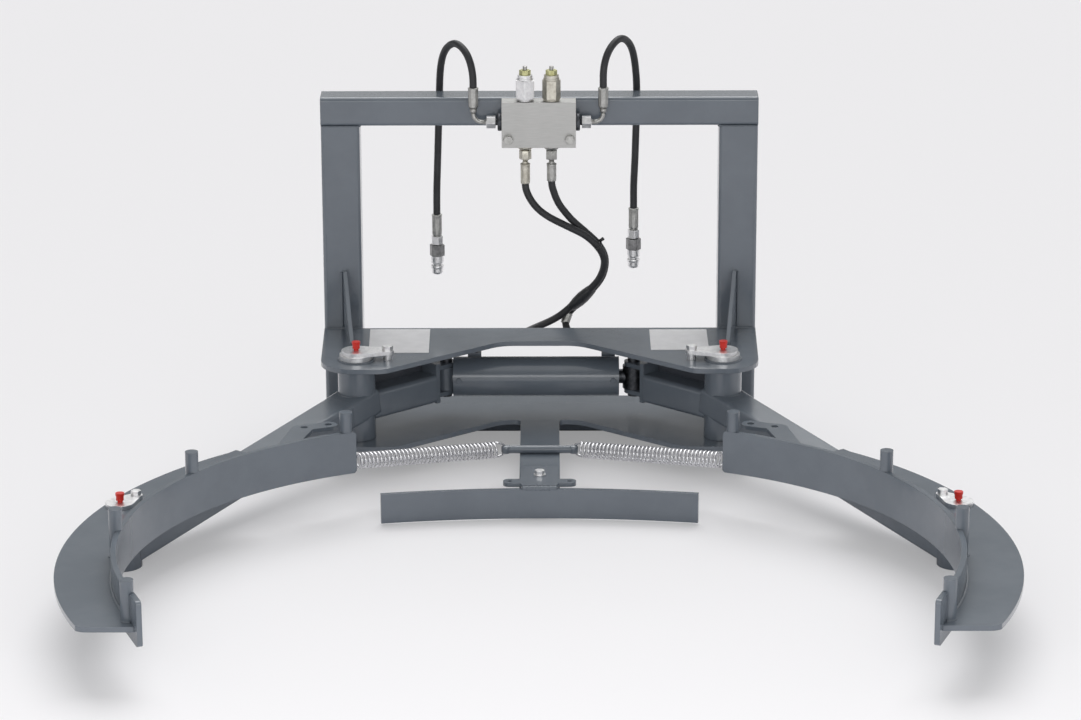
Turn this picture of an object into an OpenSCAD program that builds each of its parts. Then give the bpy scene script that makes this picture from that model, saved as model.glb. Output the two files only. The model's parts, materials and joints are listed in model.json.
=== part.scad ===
// Hydraulic clamp attachment: a portal frame carries two swinging arms with
// curved self-aligning jaws, one cylinder between the arm levers, two tension
// springs, an adjustable stop and a valve block with its hoses.
// Millimetres, +Z up, the jaws point along -Y. The origin is the middle of the
// underside of the lower cross tube, on the surface that the frame stands on.

/* [Frame] */
// Overall width of the portal frame
frame_w = 900; // [800:10:1100]
// Overall height of the portal frame
frame_h = 722; // [600:10:900]
// Width of an upright, seen from the front
upright_w = 80; // [60:5:110]
// Depth of every frame tube, front to back
tube_d = 70; // [60:5:90]
// Height of the top and lower cross tubes
cross_h = 60; // [50:5:80]
// Wall of the frame tubes
tube_wall = 5; // [4:0.5:8]
// Outer corner radius of the frame tubes
tube_corner = 8; // [6:1:10]

/* [Pivot plates] */
// Thickness of the top and bottom pivot plates
plate_t = 10; // [8:1:15]
// Height of the bottom plate's underside
bottom_plate_z = 54; // [40:2:60]
// Height of the top plate's underside
top_plate_z = 219; // [205:2:240]
// Distance of the main pivots inside the frame's sides
pivot_in = 77; // [40:1:90]
// Distance of the main pivots in front of the frame's middle plane
pivot_y = 254; // [230:1:280]
// Radius of a plate's nose round the main pivot
nose_r = 70; // [62:1:80]
// Half the width of the flat at the back of the notch
notch_half_w = 79; // [60:1:100]
// Distance of the notch's flat in front of the middle plane
notch_y = 131; // [110:1:150]
// How much further forward the bottom plate's notch is
bottom_notch_step = 18; // [0:1:25]
// Width of the tongue that carries the stop
tongue_w = 80; // [60:2:100]
// How far behind the stop band's middle the tongue ends
tongue_gap = 22; // [15:1:60]

/* [Main pivots] */
// Radius of the main pins
main_pin_r = 20; // [16:1:24]
// Outer radius of the arm hubs
hub_r = 38; // [34:1:44]
// Radial running clearance of the pins
pin_gap = 0.06; // [0.02:0.01:0.1]
// Clearance between a hub and the plates
end_gap = 0.5; // [0.3:0.1:0.9]

/* [Arms] */
// Width of the arm beam
beam_w = 72; // [60:1:80]
// Height of the arm beam
beam_h = 56; // [50:1:60]
// Wall of the arm beam and the lever
beam_wall = 6; // [4:0.5:8]
// Height of the beam's top at the main pivot
beam_top_in = 164; // [150:1:175]
// Height of the beam's top at the jaw pivot
beam_top_out = 63; // [60:1:68]
// Sideways distance from main pivot to jaw pivot
arm_dx = 421; // [390:1:450]
// Forward distance from main pivot to jaw pivot
arm_dy = 580; // [540:1:620]
// Outer radius of the jaw hub
jaw_hub_r = 38; // [34:1:42]
// Side of the square lever tube
lever_w = 60; // [50:1:64]
// Height of the lever tube's middle
lever_z = 131; // [125:1:140]

/* [Cylinder] */
// Half the distance between the lever pins with the jaws open
lever_pin_x = 195; // [190:1:200]
// Distance of the lever pins in front of the middle plane
lever_pin_y = 95; // [90:1:105]
// Height of the cylinder's axis
cyl_z = 142; // [138:1:146]
// Radius of the lever pins
lever_pin_r = 12.5; // [10:0.5:14]
// Outer radius of the barrel
barrel_r = 32; // [28:1:34]
// Bore radius of the barrel
barrel_bore_r = 25; // [22:0.5:26]
// Radius of the rod
rod_r = 15; // [12:0.5:16]
// Outer radius of the guard over the barrel
guard_r = 42; // [38:1:44]
// Sheet thickness of the guard
guard_t = 3; // [2:0.5:4]

/* [Jaws] */
// Height of the gripping band
band_h = 85; // [75:1:100]
// Thickness of the gripping band
band_t = 10; // [8:1:12]
// Radius of the band at the middle of its thickness
band_r = 662; // [640:1:690]
// Height of the band's lower edge
band_z = 88; // [86:1:96]
// Thickness of the crescent plate
crescent_t = 10; // [8:1:12]
// Height of the crescent plate's underside
crescent_z = 110; // [108:1:116]
// How far the crescent's outer edge is outside the band's radius
crescent_over = 146; // [130:1:165]
// Radius of the jaw pins
jaw_pin_r = 15; // [12:1:18]
// Radius of the round studs behind the band
stud_r = 12.5; // [10:0.5:15]
// Height of the studs' tops
stud_top = 213; // [200:1:230]

/* [Stop] */
// Radius of the curved stop band
stop_r = 1690; // [1500:10:1900]
// Half the width of the stop band
stop_half_w = 311; // [260:1:340]
// Height of the stop band
stop_h = 60; // [50:1:70]
// Thickness of the stop band
stop_t = 10; // [6:1:10]
// Distance of the stop band's middle in front of the middle plane
stop_y = 581; // [575:1:600]

/* [Springs] */
// Outer radius of the tension springs
spring_r = 17; // [14:0.5:19]
// Wire radius of the springs
spring_wire_r = 2.6; // [2:0.1:3]
// Number of coils
spring_turns = 28; // [24:1:32]
// Radius of the spring bar on the tongue
spring_bar_r = 8; // [6:0.5:10]
// Half the length of the spring bar
spring_bar_half = 74; // [70:1:90]
// Distance of the spring bar in front of the middle plane
spring_bar_y = 363; // [355:1:385]

/* [Valve block] */
// Width of the valve block
block_w = 152; // [120:1:170]
// Height of the valve block
block_h = 95; // [80:1:100]
// Depth of the valve block
block_d = 40; // [35:1:50]
// Hose radius
hose_r = 7.5; // [6:0.5:8]
// Length of the taped sleeve round the cylinder hoses
tie_len = 44; // [20:2:60]
// Width of the sleeve across one hose
tie_w = 24; // [22:1:40]
// Width of the sleeve across both hoses
tie_d = 40; // [36:1:50]

/* [Hitch] */
// Plate thickness of a hitch bracket
hitch_t = 15; // [12:1:20]
// Radius of the lock pin bore
hitch_bore_r = 15; // [12:0.5:18]

/* [Hidden] */
$fn = 64;

paint = [0.36, 0.39, 0.42];
zinc = [0.78, 0.79, 0.80];
steel = [0.70, 0.71, 0.72];
black = [0.10, 0.10, 0.11];
red = [0.85, 0.12, 0.08];
front = -tube_d / 2;
pivot_x = frame_w / 2 - pivot_in;
main_pivot = [pivot_x, -pivot_y];
jaw_pivot = main_pivot + [arm_dx, -arm_dy];
arm_yaw = atan2(-arm_dy, arm_dx);
arm_run = norm([arm_dx, arm_dy]);
lever_pin = [lever_pin_x, -lever_pin_y];
lever_vec = lever_pin - main_pivot;
lever_yaw = atan2(lever_vec.y, lever_vec.x);
lever_len = norm(lever_vec);
bottom_top = bottom_plate_z + plate_t;
top_top = top_plate_z + plate_t;
hub_lo = bottom_top + end_gap;
hub_hi = top_plate_z - end_gap;
crescent_top = crescent_z + crescent_t;
band_centre = jaw_pivot + [-690, -324];
band_in_a = 67.1;
band_tip_a = -20.5;
tip_run = 97;
tip_yaw = band_tip_a - 90;
tip_t = band_t - 0.2;
band_back_r = band_r + band_t / 2;
crescent_centre = jaw_pivot + [-724, -286];
crescent_r = band_r + crescent_over;
carriage_t = 8;
jaw_tip_y = jaw_pivot.y - 629;
stud_angles = [-24, 4.1, 33.6, 65.6];
stud_centre_r = band_back_r + 1;
spring_eye_r = stud_centre_r + 2;
stud_tops = [196, stud_top, stud_top, stud_top];
spring_bar_z = bottom_top + spring_bar_r;
spring_in = [spring_bar_half + 0.8, -spring_bar_y, spring_bar_z];
inner_stud = band_centre + spring_eye_r * [cos(stud_angles[3]), sin(stud_angles[3])];
spring_out = [inner_stud.x, inner_stud.y, crescent_z];
block_top = frame_h - 1;
block_mid_y = front - block_d / 2;
ear_t = 9;
ear_r = 20;

function unit(v) = v / norm(v);
// Points of the arc that rounds the corner b between a and c
function corner(a, b, c, r, n = 8) = let(
    u = unit(a - b), v = unit(c - b), half = acos(u * v) / 2,
    p = b + u * r / tan(half), m = b + unit(u + v) * r / sin(half),
    start = atan2(p.y - m.y, p.x - m.x), q = b + v * r / tan(half),
    turn = (atan2(q.y - m.y, q.x - m.x) - start + 540) % 360 - 180)
    [for (i = [0 : n]) m + r * [cos(start + turn * i / n), sin(start + turn * i / n)]];
// Closed outline with the given radius at each corner, none where it is zero
function rounded(pts, radii) = let(n = len(pts)) [for (i = [0 : n - 1])
    each (radii[i] > 0 ? corner(pts[(i + n - 1) % n], pts[i], pts[(i + 1) % n], radii[i]) : [pts[i]])];
// Catmull-Rom curve through the route's points
function curve(p, steps = 2) = [for (i = [0 : len(p) - 2]) for (j = [0 : steps - 1]) let(
    a = p[max(i - 1, 0)], b = p[i], c = p[i + 1], d = p[min(i + 2, len(p) - 1)], t = j / steps)
    0.5 * (2 * b + (c - a) * t + (2 * a - 5 * b + 4 * c - d) * t * t + (3 * b - a - 3 * c + d) * t * t * t),
    p[len(p) - 1]];

// Tube swept along points, each ring square to the path
module sweep(pts, r, sides) {
    n = len(pts);
    rings = [for (i = [0 : n - 1]) let(
        t = unit(pts[min(i + 1, n - 1)] - pts[max(i - 1, 0)]),
        u = unit(cross([0, 1, 0.01], t)), v = cross(t, u))
        for (k = [0 : sides - 1]) pts[i] + r * (cos(360 * k / sides) * u + sin(360 * k / sides) * v)];
    walls = [for (i = [0 : n - 2]) for (k = [0 : sides - 1]) let(k2 = (k + 1) % sides)
        each [[i * sides + k, (i + 1) * sides + k, i * sides + k2],
            [i * sides + k2, (i + 1) * sides + k, (i + 1) * sides + k2]]];
    polyhedron(rings, concat(walls, [[for (k = [0 : sides - 1]) k]],
        [[for (k = [sides - 1 : -1 : 0]) (n - 1) * sides + k]]));
}

// Child for the right side as drawn, mirrored for the left
module side(right) {
    if (right) children();
    else mirror([1, 0, 0]) children();
}

module round_rect(w, d, r) {
    square([w - 2 * r, d], center = true);
    square([w, d - 2 * r], center = true);
    for (x = [-1, 1], y = [-1, 1]) translate([x * (w / 2 - r), y * (d / 2 - r)]) circle(r);
}

// Rectangular hollow section standing on its end
module hollow_section(w, d, r, wall, length) {
    linear_extrude(length) difference() {
        round_rect(w, d, r);
        round_rect(w - 2 * wall, d - 2 * wall, r - wall + 1.5);
    }
}

module hex(across, h) {
    cylinder(r = across / sqrt(3), h = h, $fn = 6);
}

module grease_cap() {
    cylinder(r = 5, h = 4);
    translate([0, 0, 4]) cylinder(r = 7.5, h = 9);
    translate([0, 0, 13]) cylinder(r = 8.5, h = 5);
}

module top_cross_tube() {
    color(paint) translate([-frame_w / 2, 0, frame_h - cross_h / 2]) rotate([0, 90, 0])
        hollow_section(cross_h, tube_d, tube_corner, tube_wall, frame_w);
}

module lower_cross_tube() {
    inner_w = frame_w - 2 * upright_w;
    color(paint) translate([-inner_w / 2, 0, cross_h / 2]) rotate([0, 90, 0])
        hollow_section(cross_h, tube_d, tube_corner, tube_wall, inner_w);
}

module upright() {
    color(paint) translate([frame_w / 2 - upright_w / 2, 0, 0])
        hollow_section(upright_w, tube_d, tube_corner, tube_wall, frame_h - cross_h);
}

// Half outline of a pivot plate from the middle of the notch to the rear edge
function plate_half(notch) = let(
    nose_y = -pivot_y - nose_r, slant = 0.82, corner_x = notch_half_w + (-notch - nose_y) / slant)
    [[notch_half_w, -notch], [corner_x, nose_y], [pivot_x + nose_r, nose_y],
        [frame_w / 2, front], [0, front]];

module plate_outline(notch) {
    half = plate_half(notch);
    right = rounded([[0, -notch], each half], [0, 70, 40, nose_r - 1, 0, 0]);
    polygon(concat(right, [for (i = [len(right) - 1 : -1 : 0]) if (right[i].x > 0) [-right[i].x, right[i].y]]));
}

module main_bores() {
    for (x = [-pivot_x, pivot_x]) translate([x, -pivot_y]) circle(main_pin_r);
}

module top_plate() {
    color(paint) translate([0, 0, top_plate_z]) linear_extrude(plate_t) difference() {
        plate_outline(notch_y);
        main_bores();
    }
}

module bottom_plate() {
    notch = notch_y + bottom_notch_step;
    root_r = 12;
    tongue = rounded([[tongue_w / 2 + root_r * 2, -notch + 20], [tongue_w / 2 + root_r * 2, -notch],
        [tongue_w / 2, -notch], [tongue_w / 2, tongue_gap - stop_y], [-tongue_w / 2, tongue_gap - stop_y],
        [-tongue_w / 2, -notch], [-tongue_w / 2 - root_r * 2, -notch], [-tongue_w / 2 - root_r * 2, -notch + 20]],
        [0, 0, root_r, 0, 0, root_r, 0, 0]);
    color(paint) translate([0, 0, bottom_plate_z]) linear_extrude(plate_t) difference() {
        union() {
            plate_outline(notch);
            polygon(tongue);
        }
        main_bores();
        translate([0, -stop_bolt_y()]) circle(7);
    }
}

function stop_bolt_y() = stop_y - 61;

module gusset() {
    foot = 150;
    rise = 126;
    profile = [[0, 0], [foot, 0], [foot, 14], [14, rise], [0, rise]];
    color(paint) translate([frame_w / 2 - upright_w / 2 - 4, front, top_top]) rotate([0, 0, -8])
        rotate([90, 0, -90]) translate([0, 0, -4]) linear_extrude(8) polygon(profile);
}

module hitch_bracket() {
    back = tube_d / 2;
    outline = rounded([[back, 60], [back + 62, 60], [back + 62, 190], [back + 30, 260], [back + 30, 560],
        [back + 75, 585], [back + 75, 650], [back, 650]], [0, 30, 40, 60, 60, 18, 24, 0]);
    color(paint) translate([frame_w / 2 - upright_w / 2 - hitch_t / 2, 0, 0])
        rotate([90, 0, 90]) linear_extrude(hitch_t) difference() {
            polygon(outline);
            translate([back + 32, 95]) circle(hitch_bore_r);
            translate([back + 40, 585]) circle(22);
            translate([back + 18, 540]) square([44, 45]);
        }
}

module main_pin() {
    ring_h = 12;
    retainer_h = 8;
    bolt = [-64, 0];
    color(zinc) translate([main_pivot.x, main_pivot.y, 0]) {
        translate([0, 0, bottom_plate_z - 6]) cylinder(r = main_pin_r, h = top_top + ring_h - bottom_plate_z + 6);
        translate([0, 0, top_top]) difference() {
            cylinder(r = 34, h = ring_h);
            translate([0, 0, -1]) cylinder(r = main_pin_r, h = ring_h + 2);
        }
        translate([0, 0, top_top + ring_h]) linear_extrude(retainer_h) {
            circle(30);
            polygon([[-8, 29], [-64, 13], [-64, -13], [-8, -29]]);
            translate(bolt) circle(13);
        }
        translate([bolt.x, bolt.y, top_top]) cylinder(r = 9, h = ring_h);
        translate([bolt.x, bolt.y, top_top + ring_h + retainer_h]) hex(19, 9);
    }
}

module main_grease_cap() {
    color(red) translate([main_pivot.x, main_pivot.y, top_top + 20]) grease_cap();
}

module spring_bar() {
    color(paint) translate([0, -spring_bar_y, spring_bar_z]) rotate([0, 90, 0])
        cylinder(r = spring_bar_r, h = 2 * spring_bar_half, center = true);
}

module stop_carriage() {
    bolt_y = -stop_bolt_y();
    ear_y = bolt_y - 37;
    front_y = -stop_y - 1;
    ear = 72;
    outline = rounded([[-38, bolt_y + 55], [38, bolt_y + 55], [38, ear_y + 13], [ear, ear_y + 13],
        [ear, ear_y - 13], [38, ear_y - 13], [34, front_y], [-34, front_y], [-38, ear_y - 13], [-ear, ear_y - 13],
        [-ear, ear_y + 13], [-38, ear_y + 13]], [8, 8, 3, 12, 12, 3, 0, 0, 3, 12, 12, 3]);
    color(paint) translate([0, 0, bottom_top]) linear_extrude(carriage_t) difference() {
        polygon(outline);
        translate([0, bolt_y]) circle(6.5);
        for (s = [-1, 1]) translate([s * 59, ear_y]) circle(4.5);
    }
}

module stop_band() {
    half_a = asin(stop_half_w / stop_r);
    color(paint) translate([0, -stop_y - stop_r, bottom_top - stop_h])
        rotate([0, 0, 90 - half_a]) rotate_extrude(angle = 2 * half_a, $fn = 180)
            translate([stop_r - stop_t / 2, 0]) square([stop_t, stop_h]);
}

module stop_bolt() {
    y = -stop_bolt_y();
    color(zinc) translate([0, y, 0]) {
        translate([0, 0, bottom_top + carriage_t]) cylinder(r = 12, h = 2);
        translate([0, 0, bottom_top + carriage_t + 2]) hex(17, 8);
        translate([0, 0, bottom_plate_z - 12]) cylinder(r = 6, h = plate_t + carriage_t + 12);
        translate([0, 0, bottom_plate_z - 10]) hex(17, 10);
    }
}

module valve_block() {
    color(steel) translate([-block_w / 2 - 1, front - block_d, block_top - block_h]) difference() {
        cube([block_w, block_d, block_h]);
        for (x = [13.5, block_w - 13]) translate([x, -1, 18]) rotate([-90, 0, 0]) cylinder(r = 5, h = block_d + 2);
    }
}

module block_bolts() {
    color(zinc) for (x = [-63.5, 62]) translate([x, front - block_d, block_top - block_h + 18]) rotate([90, 0, 0]) {
        cylinder(r = 10, h = 2);
        translate([0, 0, 2]) hex(17, 8);
        translate([0, 0, -block_d]) cylinder(r = 5, h = block_d);
    }
}

cartridge_x = [-29, 25];
cartridge_across = [37, 33];

module cartridge(i) {
    color(steel) translate([cartridge_x[i], block_mid_y, block_top]) {
        cylinder(r = 19, h = 4);
        translate([0, 0, 4]) hex(cartridge_across[i], 38);
        translate([0, 0, 42]) cylinder(r = 14, h = 12);
    }
}

module adjuster_nuts() {
    color([0.70, 0.72, 0.45]) for (x = cartridge_x) translate([x, block_mid_y, block_top + 54]) {
        hex(22, 11);
        translate([0, 0, 11]) cylinder(r = 5, h = 8);
    }
}

side_fit_z = 676;
ferrule_x = [-135, 131];
ferrule_z = 707;
ferrule_h = 41;

// Adaptor and nut out of the block's side, elbow up, ferrule on the hose
module side_fitting(i) {
    s = i == 0 ? -1 : 1;
    face = s < 0 ? -block_w / 2 - 1 : block_w / 2 - 1;
    bend = 14;
    out = abs(ferrule_x[i] - face);
    color(steel) translate([face, block_mid_y, side_fit_z]) rotate([0, 0, s < 0 ? 180 : 0]) {
        rotate([0, 90, 0]) {
            hex(30, 10);
            translate([0, 0, 10]) cylinder(r = 9, h = 3);
            translate([0, 0, 13]) hex(24, 18);
            cylinder(r = 6.5, h = out - bend);
        }
        translate([out - bend, 0, bend]) rotate([90, 0, 0]) rotate([0, 0, -90])
            rotate_extrude(angle = 90) translate([bend, 0]) circle(6.5);
        translate([out, 0, bend]) cylinder(r = 6.5, h = ferrule_z - side_fit_z - bend);
        translate([out, 0, ferrule_z - side_fit_z]) cylinder(r = 10.5, h = ferrule_h);
    }
}

bottom_fit_h = [80, 75];

module bottom_fitting(i) {
    h = bottom_fit_h[i];
    color(steel) translate([cartridge_x[i], block_mid_y, block_top - block_h]) {
        translate([0, 0, -8]) hex(30, 8);
        translate([0, 0, -12]) cylinder(r = 8, h = 4);
        translate([0, 0, -30]) hex(22, 18);
        translate([0, 0, -38]) cylinder(r = 6.5, h = 8);
        translate([0, 0, -h]) cylinder(r = 10, h = h - 38);
    }
}

supply_left = [[-135, -55, 748.2], [-135, -55, 762], [-137, -55, 785], [-147, -42, 815],
    [-170, -12, 832], [-193, 20, 812], [-204, 42, 770], [-207, 50, 715], [-210, 60, 640],
    [-213, 66, 560], [-215.5, 74, 500], [-216, 75, 457], [-216, 75, 446]];
supply_right = [[131, -55, 748.2], [131, -55, 764], [132, -55, 790], [142, -42, 822], [166, -12, 842],
    [188, 22, 820], [198, 42, 775], [202, 50, 718], [201, 60, 640], [199, 67, 560], [197, 74, 510],
    [197, 75, 470], [197, 75, 459]];
cylinder_left = [[-29, -55, 545.8], [-29, -55, 537], [-25, -56, 522], [-8, -57, 495], [15, -55, 476],
    [40, -52, 462], [68, -48, 447], [96, -44, 432], [117, -39, 411], [131, -33, 390], [136, -26, 369],
    [132, -18, 347], [122, -9, 323], [106, -1, 304], [82, 6, 280], [50, 14, 246], [26, 16, 230],
    [-2, 12, 219], [-30, 0, 210], [-65, -35, 202], [-105, -62, 203], [-128, -72.5, 202.5],
    [-136, -73, 197], [-136, -73, 190.2]];
cylinder_right = [[25, -55, 550.8], [25, -55, 542], [30, -53, 525], [38, -48, 502], [52, -43, 482],
    [68, -37, 461], [87, -31, 443], [105, -25, 425], [122, -20.5, 408], [134, -14, 386],
    [138, -7, 365], [135, 1, 341], [126, 9.5, 318], [110, 15, 298], [90, 22, 275], [67, 27, 251],
    [56, 29, 238], [52, 20, 222], [60, -6, 208], [84, -36, 202], [112, -60, 203], [134, -72.5, 202.5],
    [142, -73, 197], [142, -73, 190.2]];

module supply_hose(route) {
    color(black) sweep(curve(route), hose_r, 10);
}

module cylinder_hose(route) {
    color(black) sweep(curve(route, 1), hose_r, 10);
}

// Crimped ferrule and male quick coupler hanging under the hose end
module coupler(route) {
    e = route[len(route) - 1];
    color(steel) translate(e) {
        translate([0, 0, -41]) cylinder(r = 10.5, h = 40.8);
        translate([0, 0, -52]) hex(22, 11);
        translate([0, 0, -57]) cylinder(r = 9, h = 5);
        translate([0, 0, -84]) hex(27, 27);
        translate([0, 0, -92]) cylinder(r = 14, h = 8);
        translate([0, 0, -118]) cylinder(r = 12, h = 26);
        translate([0, 0, -130]) cylinder(r = 10, h = 12);
    }
}

// Taped sleeve round both cylinder hoses where they run side by side
module hose_tie() {
    mid = (cylinder_left[14] + cylinder_right[14]) / 2;
    along = unit(cylinder_left[15] - cylinder_left[13]);
    color(black) translate(mid) rotate([0, acos(along.z), atan2(along.y, along.x)]) rotate(18) difference() {
        linear_extrude(tie_len, center = true) round_rect(tie_w, tie_d, 11);
        linear_extrude(tie_len + 10, center = true) round_rect(tie_w - 4, tie_d - 4, 9);
    }
}

module hub_tube(lo, hi, outer, pin) {
    translate([0, 0, lo]) difference() {
        cylinder(r = outer, h = hi - lo);
        translate([0, 0, -1]) cylinder(r = pin + pin_gap, h = hi - lo + 2);
    }
}

module arm_hub() {
    color(paint) translate([main_pivot.x, main_pivot.y, 0]) hub_tube(hub_lo, hub_hi, hub_r, main_pin_r);
}

module jaw_hub() {
    color(paint) translate([jaw_pivot.x, jaw_pivot.y, 0]) hub_tube(0, crescent_z - end_gap, jaw_hub_r, jaw_pin_r);
}

// Sloping box beam, coped round both hubs
module arm_beam() {
    drop = beam_top_in - beam_top_out;
    pitch = atan2(drop, arm_run);
    color(paint) difference() {
        translate([main_pivot.x, main_pivot.y, beam_top_in - beam_h / 2])
            rotate([0, 0, arm_yaw]) rotate([0, 90 + pitch, 0])
                hollow_section(beam_h, beam_w, 9, beam_wall, norm([arm_run, drop]));
        translate([main_pivot.x, main_pivot.y, 0]) cylinder(r = hub_r, h = 400);
        translate([jaw_pivot.x, jaw_pivot.y, -100]) cylinder(r = jaw_hub_r, h = 400);
    }
}

// Square lever tube, end plate and two clevis ears
module lever() {
    tube_len = lever_len - 50;
    plate_w = 56;
    plate_lo = cyl_z - 42;
    ear_z = 24.5;
    color(paint) difference() {
        translate([main_pivot.x, main_pivot.y, 0]) rotate([0, 0, lever_yaw]) {
            translate([0, 0, lever_z]) rotate([0, 90, 0])
                hollow_section(lever_w, lever_w, 9, beam_wall, tube_len);
            translate([tube_len, -plate_w / 2, plate_lo]) cube([10, plate_w, 84]);
            for (z = [cyl_z - ear_z - ear_t, cyl_z + ear_z]) translate([0, 0, z]) linear_extrude(ear_t) {
                translate([lever_len, 0]) circle(ear_r);
                translate([tube_len + 10, -ear_r]) square([lever_len - tube_len - 10, 2 * ear_r]);
            }
        }
        translate([main_pivot.x, main_pivot.y, 0]) cylinder(r = hub_r, h = 400);
        translate([lever_pin.x, lever_pin.y, 0]) cylinder(r = lever_pin_r, h = 400);
    }
}

module lever_pin() {
    color(zinc) translate([lever_pin.x, lever_pin.y, cyl_z - 41])
        cylinder(r = lever_pin_r, h = 82);
}

// Plan frame at the start of the band's straight tip, x along the tip
module tip_plan() {
    translate(band_centre + band_r * [cos(band_tip_a), sin(band_tip_a)]) rotate(tip_yaw) children();
}

// Cutter for the two round corners at one end of the band, x along the band
module band_end_cut(r) {
    for (top = [0, 1]) translate([0, 0, top * band_h]) mirror([0, 0, top]) difference() {
        translate([-r, -20, -1]) cube([r + 1, 40, r + 1]);
        translate([-r, 0, r]) rotate([90, 0, 0]) cylinder(r = r + 0.3, h = 60, center = true);
    }
}

// Rolled flat bar with a short straight tip
module band() {
    color(paint) difference() {
        union() {
            translate([band_centre.x, band_centre.y, band_z]) rotate([0, 0, band_tip_a])
                rotate_extrude(angle = band_in_a - band_tip_a, $fn = 180)
                    translate([band_r - band_t / 2, 0]) square([band_t, band_h]);
            translate([0, 0, band_z]) tip_plan() translate([-4, -tip_t / 2, 0])
                cube([tip_run + 4, tip_t, band_h]);
        }
        translate([0, 0, band_z]) tip_plan() translate([tip_run, 0, 0]) band_end_cut(8);
        translate([band_centre.x, band_centre.y, band_z]) rotate(band_in_a) translate([band_r, 0, 0])
            rotate(90) band_end_cut(8);
    }
}

// Two-eyed plate against the back of the band, near the top of its inner end
module lug() {
    outline = rounded([[-399, 325], [-387, 357], [-307, 327], [-284, 202], [-328, 228], [-347, 305]],
        [15, 15, 17, 0, 0, 4]);
    color(paint) translate([0, 0, band_z + band_h - 10]) linear_extrude(8) difference() {
        translate(jaw_pivot) polygon(outline);
        translate(jaw_pivot) for (e = [[-377, 335], [-330, 317]]) translate(e) circle(7);
        translate(band_centre) circle(band_back_r, $fn = 180);
    }
}

// Height along the arm and distance behind its middle line, as plan axes
module arm_plan() {
    translate(main_pivot) rotate(arm_yaw) children();
}

module crescent() {
    heel_run = 0.47 * arm_run;
    over_run = 0.60 * arm_run;
    color(paint) translate([0, 0, crescent_z]) difference() {
        linear_extrude(crescent_t) difference() {
            intersection() {
                translate(crescent_centre) circle(crescent_r, $fn = 180);
                translate([0, jaw_tip_y]) square([1200, 1400]);
                union() {
                    arm_plan() translate([over_run, -600]) square([900, 1200]);
                    arm_plan() translate([heel_run, beam_w / 2 + 1]) square([900, 600]);
                }
            }
            translate(band_centre) circle(band_back_r, $fn = 180);
            tip_plan() translate([-1, -100]) square([200, 100 + band_t / 2]);
        }
        translate([jaw_pivot.x, jaw_pivot.y, -1]) cylinder(r = jaw_pin_r, h = crescent_t + 2);
        translate([0, jaw_tip_y, -1]) crescent_corner_cut();
    }
}

// Rounds the crescent's outer front corner
module crescent_corner_cut() {
    r = 30;
    x = crescent_centre.x + sqrt(pow(crescent_r, 2) - pow(jaw_tip_y + r - crescent_centre.y, 2)) - r;
    difference() {
        translate([x, -1, 0]) cube([60, r + 1, crescent_t + 2]);
        translate([x, r, -1]) cylinder(r = r, h = crescent_t + 4);
    }
}

module stud(i) {
    a = stud_angles[i];
    c = band_centre + (stud_centre_r + (i == 0 ? 2 : 0)) * [cos(a), sin(a)];
    foot = i == 3 ? band_z + 7 : crescent_top;
    translate([c.x, c.y, foot]) cylinder(r = stud_r, h = stud_tops[i] - foot);
}

// The studs' lower part is notched to sit against the back of the band
module studs() {
    color(paint) difference() {
        for (i = [1 : 3]) stud(i);
        translate([band_centre.x, band_centre.y, band_z - 1])
            cylinder(r = band_back_r, h = band_h + 1, $fn = 180);
    }
    color(paint) difference() {
        stud(0);
        translate([0, 0, band_z - 1]) tip_plan() translate([-20, -60, 0])
            cube([tip_run + 40, 60 + tip_t / 2, band_h + 1]);
    }
}

module jaw_pin() {
    bolt = [-26, 40];
    retainer_h = 8;
    color(zinc) translate([jaw_pivot.x, jaw_pivot.y, 0]) {
        translate([0, 0, 3]) cylinder(r = jaw_pin_r, h = crescent_top - 3);
        translate([0, 0, crescent_top]) linear_extrude(retainer_h) {
            circle(28);
            polygon([[22, 18], [-18, 49], [-35, 30], [-27, -8]]);
            translate(bolt) circle(12.5);
        }
        translate([bolt.x, bolt.y, crescent_top + retainer_h]) hex(17, 9);
    }
}

module jaw_grease_cap() {
    color(red) translate([jaw_pivot.x, jaw_pivot.y, crescent_top + 8]) grease_cap();
}

port_x = [-136, 142];
port_y = -73;
port_top = 190;
barrel_end = 135;
guard_end = 164;

module barrel_eye(x) {
    translate([x, -lever_pin_y, cyl_z - 24]) cylinder(r = 23, h = 48);
}

module eye_bore(x) {
    translate([x, -lever_pin_y, 0]) cylinder(r = lever_pin_r + pin_gap, h = 400);
}

module cylinder_barrel() {
    color(paint) difference() {
        union() {
            barrel_eye(-lever_pin_x);
            translate([-lever_pin_x + 8, -lever_pin_y, cyl_z]) rotate([0, 90, 0]) cylinder(r = 20, h = 30);
            translate([-lever_pin_x + 30, -lever_pin_y, cyl_z]) rotate([0, 90, 0])
                cylinder(r = barrel_r, h = lever_pin_x - 30 + barrel_end);
            for (x = port_x) translate([x - 14, port_y - 10, cyl_z]) cube([28, 20, port_top - cyl_z]);
        }
        eye_bore(-lever_pin_x);
        translate([-lever_pin_x + 45, -lever_pin_y, cyl_z]) rotate([0, 90, 0])
            cylinder(r = barrel_bore_r, h = 400);
        for (x = port_x) translate([x, port_y, cyl_z + 12]) cylinder(r = 6, h = 60);
        translate([barrel_end, -lever_pin_y, cyl_z]) rotate([0, 90, 0]) cylinder(r = barrel_r + 3, h = 40);
    }
}

module cylinder_gland() {
    color(paint) translate([barrel_end, -lever_pin_y, cyl_z]) rotate([0, 90, 0]) difference() {
        cylinder(r = barrel_r + 3, h = 18);
        translate([0, 0, -1]) cylinder(r = rod_r + pin_gap, h = 20);
    }
}

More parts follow.
